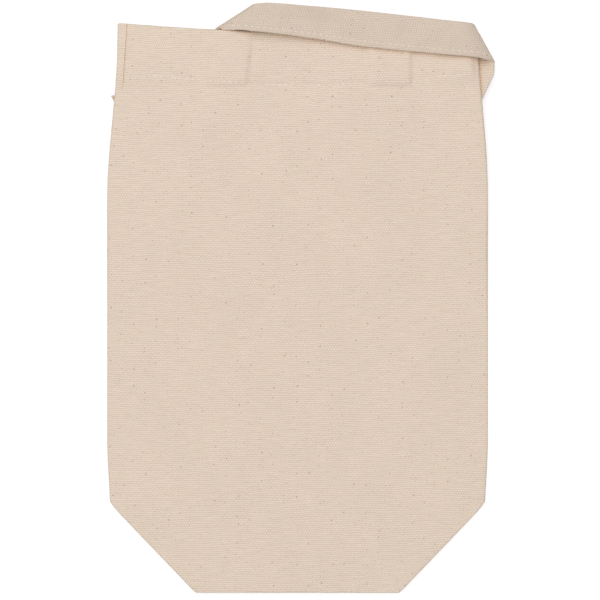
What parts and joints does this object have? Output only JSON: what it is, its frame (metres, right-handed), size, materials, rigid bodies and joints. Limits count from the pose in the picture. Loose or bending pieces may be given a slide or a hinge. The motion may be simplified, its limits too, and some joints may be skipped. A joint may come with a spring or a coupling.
{
  "type": "bottle carrier",
  "caption": "Cotton canvas bottle bag with a boxed base, folded flat, with a hemmed mouth and a carry strap laid over the mouth and round one edge.",
  "frame": {"origin": "on the back's outer face, at the middle of the bottom fold", "axes": "+X to the right seen from the front, +Y from the bottom fold to the mouth, +Z from the back to the front"},
  "size_m": [0.1766, 0.2681, 0.0097],
  "materials": {
    "canvas": "unbleached plain-weave cotton duck, matt, with seed flecks",
    "strap": "unbleached cotton twill tape, doubled and topstitched",
    "thread": "spun sewing thread, ecru"
  },
  "bodies": {
    "back": {"back_panel": "canvas", "back_hem": "canvas", "base_panel": "canvas", "left_corner_fold": "canvas", "right_corner_fold": "canvas", "left_side_fold": "canvas", "right_side_fold": "canvas", "left_front_side": "canvas", "right_front_side": "canvas", "left_front_hem": "canvas", "right_front_hem": "canvas", "left_seam_lap": "canvas", "strap_side_run": "strap", "strap_back_run": "strap", "strap_return_run": "strap"},
    "front": {"front_panel": "canvas", "front_hem": "canvas", "strap_front_run": "strap"}
  },
  "joints": [
    {"name": "mouth_open", "type": "hinge", "parent": "back", "child": "front", "pos_m": [0, 0, 0.00263], "axis": [1, 0, 0], "range_deg": [0, 18], "deforming": ["left_front_side", "right_front_side", "left_front_hem", "right_front_hem", "left_seam_lap", "strap_side_run"]}
  ]
}
